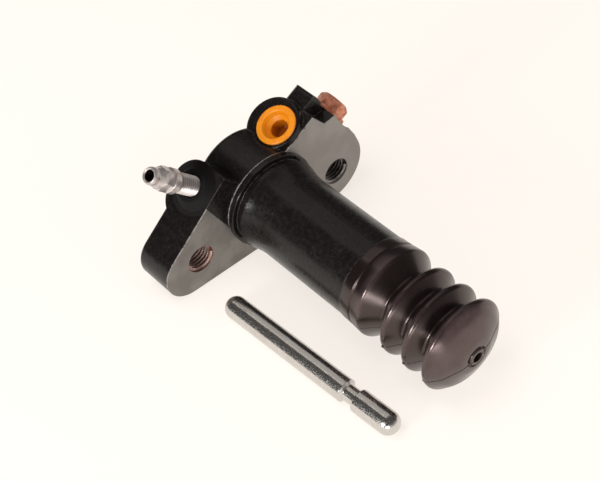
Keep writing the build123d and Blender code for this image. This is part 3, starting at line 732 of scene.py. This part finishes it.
# Copper washer and hexagon screw
# A soft copper sealing washer, pressed from sheet, under a copper-plated hexagon screw
# that closes the cross drilling of the inlet block.
COPPER = "#d68f74"
COPPER_TARNISHED = "#a9654b"
SPOT_FACE = (-7.5, 34.9, -5.8)
SPOT_AXIS = (0, math.cos(BLOCK_TILT), math.sin(BLOCK_TILT))
WASHER_PROFILE = [(0.0, 3.2, 0.1), (0.0, 6.6, 0.3), (1.3, 6.6, 0.3), (1.3, 3.2, 0.1)]
SCREW_ACROSS = 10 * MM
SCREW_SHANK = [(-9.0, 2.6, 0.0), (-8.6, 2.95, 0.1), (1.35, 2.95, 0.0)]
SCREW_LIMIT = [(1.3, 5.3, 0.0), (1.55, 5.6, 0.2), (4.3, 5.65, 0.9), (5.5, 4.3, 0.5), (5.5, 0.5, 0.0)]
SHANK_SEGMENTS = 48

copper = finish_of("bright_copper")
tarnish = copper.mottle(2.0 * MM)
handling = copper.mottle(0.5 * MM, 3.0)
copper.set("Base Color", copper.blend(copper.ramp(tarnish, 0.4, 0.65), COPPER, COPPER_TARNISHED))
copper.set("Metallic", 0.6)
copper.set("Roughness", copper.ramp(tarnish, 0.3, 0.7, 0.38, 0.5))
copper.set("Normal", copper.bump(handling, 0.06 * MM, 0.15))

on_spot = along(on_block(*SPOT_FACE), SPOT_AXIS)
washer = turned("pressed_copper_washer", eased(WASHER_PROFILE, 4), ROUND_SEGMENTS, ring=True)
settle(washer, on_spot)
cover(washer, copper, "housing", "sealing_washer")
screw_head = hexagon("plated_passage_screw", SCREW_ACROSS, SCREW_LIMIT, 0)
screw_shank = turned("passage_screw_shank", eased(SCREW_SHANK, 3), SHANK_SEGMENTS)
passage_screw = joined(screw_head, screw_shank)
settle(passage_screw, on_spot)
cover(passage_screw, copper, "housing", "passage_screw")


# Floor, light and camera
# A warm white light table under soft lamps, seen from above the rod. Metal sees a white
# floor and horizon under a dark ceiling, as it does in a small photographic tent.
FLOOR_SIZE = 6.0
FLOOR_GAP = 0.02 * MM
TABLE_IN_LIGHT = "#f4efe8"
TABLE_LOOKED_AT = "#8f8c88"
CREAM = "#fff8f0"
TENT_WALL = "#fffaf4"
TENT_SOFT = "#b9b5b1"
STRIP_Y = -0.13
LEAST_MIRRORED = 0.08
LENS = 84
SENSOR_WIDTH = 36
CAMERA_PLACE = (0.26823, -0.20228, 0.32366)
CAMERA_RIGHT = Vector((0.66154, 0.74832, -0.04881))
CAMERA_UP = Vector((-0.51517, 0.5008, 0.69556))

table = finish_of("warm_white_table")
rays = table.add("ShaderNodeLightPath").outputs
looked_at = table.math(
    "MAXIMUM", rays["Is Camera Ray"], rays["Is Glossy Ray"], rays["Is Transmission Ray"])
table.set("Base Color", table.blend(looked_at, TABLE_IN_LIGHT, TABLE_LOOKED_AT))
table.set("Roughness", 0.9)
table.set("Specular IOR Level", 0.0)
table.set("Emission Color", CREAM)
table.set("Emission Strength", table.math("MULTIPLY", looked_at, 0.75))
bpy.ops.object.select_all(action="DESELECT")
bpy.ops.mesh.primitive_plane_add(size=FLOOR_SIZE, location=(0, 0, cad_low[2] - FLOOR_GAP))
floor = bpy.context.object
floor.name = "floor"
floor.data.materials.append(table.owner)
floor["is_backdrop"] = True

bpy.context.scene.world = bpy.data.worlds.new("tent")
tent = Finish(bpy.context.scene.world, "Background", "Generated")
rays = tent.add("ShaderNodeLightPath").outputs
toward = tent.split(tent.place)
horizon = tent.math(
    "MULTIPLY", tent.ramp(toward["Z"], 0.05, 0.17, 1.0, 0.0), tent.ramp(toward["X"], -0.4, 0.3, 0.2, 1.0))
front_wall = tent.math(
    "MULTIPLY", tent.ramp(toward["X"], 0.25, 0.8, 0.0, 0.6), tent.ramp(toward["Z"], 0.12, 0.5, 1.0, 0.15))
ceiling = tent.math(
    "MULTIPLY", tent.ramp(toward["Y"], -0.2, -0.1), tent.ramp(toward["Z"], 0.6, 0.72, 0.0, 0.55))
from_strip = tent.math("ABSOLUTE", tent.math("SUBTRACT", toward["Y"], STRIP_Y))
strip = tent.math(
    "MULTIPLY", tent.ramp(from_strip, 0.03, 0.06, 1.2, 0.0), tent.math("GREATER_THAN", toward["Z"], 0.75))
overhead = tent.math(
    "MULTIPLY", tent.math("MAXIMUM", ceiling, strip), tent.ramp(toward["X"], -0.3, -0.05, 1.0, 0.15))
mirrored_light = tent.math("MAXIMUM", horizon, front_wall, overhead, LEAST_MIRRORED)
tinted = {"_0": linear(TENT_WALL)[:3], "Scale": mirrored_light}
wall = tent.add("ShaderNodeVectorMath", {"operation": "SCALE"}, **tinted).outputs["Vector"]
soft = tent.blend(rays["Is Glossy Ray"], TENT_SOFT, wall)
tent.set("Color", tent.blend(rays["Is Camera Ray"], soft, CREAM))


def softbox(name, at, aim, size, power, mirrored=True):
    """A broad lamp turned to its aim, with a power in watts. Gloss may be kept from seeing it."""
    lamp = bpy.data.lights.new(name, "AREA")
    lamp.shape = "RECTANGLE"
    lamp.size, lamp.size_y = size
    lamp.energy = power
    holder = bpy.data.objects.new(name, lamp)
    bpy.context.scene.collection.objects.link(holder)
    holder.location = at
    holder.rotation_mode = "QUATERNION"
    holder.rotation_quaternion = (Vector(aim) - Vector(at)).to_track_quat("-Z", "Y")
    holder.visible_glossy = mirrored


softbox("key", at=(-0.1, -0.3, 0.8), aim=(0.03, 0, 0), size=(0.5, 0.4), power=3.0, mirrored=False)
softbox("low_front", at=(0.62, -0.55, 0.09), aim=(0.06, 0, 0), size=(0.4, 0.14), power=1.3)
softbox("low_left", at=(0.1, -0.78, 0.25), aim=(0.03, 0, 0), size=(0.26, 0.16), power=4.6)
softbox("broad_front", at=(0.75, 0.25, 0.45), aim=(0.05, 0, 0), size=(0.5, 0.4), power=2.0, mirrored=False)

lens = bpy.data.cameras.new("camera")
lens.lens = LENS
lens.sensor_width = SENSOR_WIDTH
lens.clip_start, lens.clip_end = 0.01, 20
camera = bpy.data.objects.new("camera", lens)
bpy.context.scene.collection.objects.link(camera)
view = Matrix((CAMERA_RIGHT, CAMERA_UP, CAMERA_RIGHT.cross(CAMERA_UP))).transposed().to_4x4()
camera.matrix_world = Matrix.Translation(CAMERA_PLACE) @ view
bpy.context.scene.camera = camera
bpy.context.scene.view_settings.view_transform = "Standard"

low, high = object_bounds()
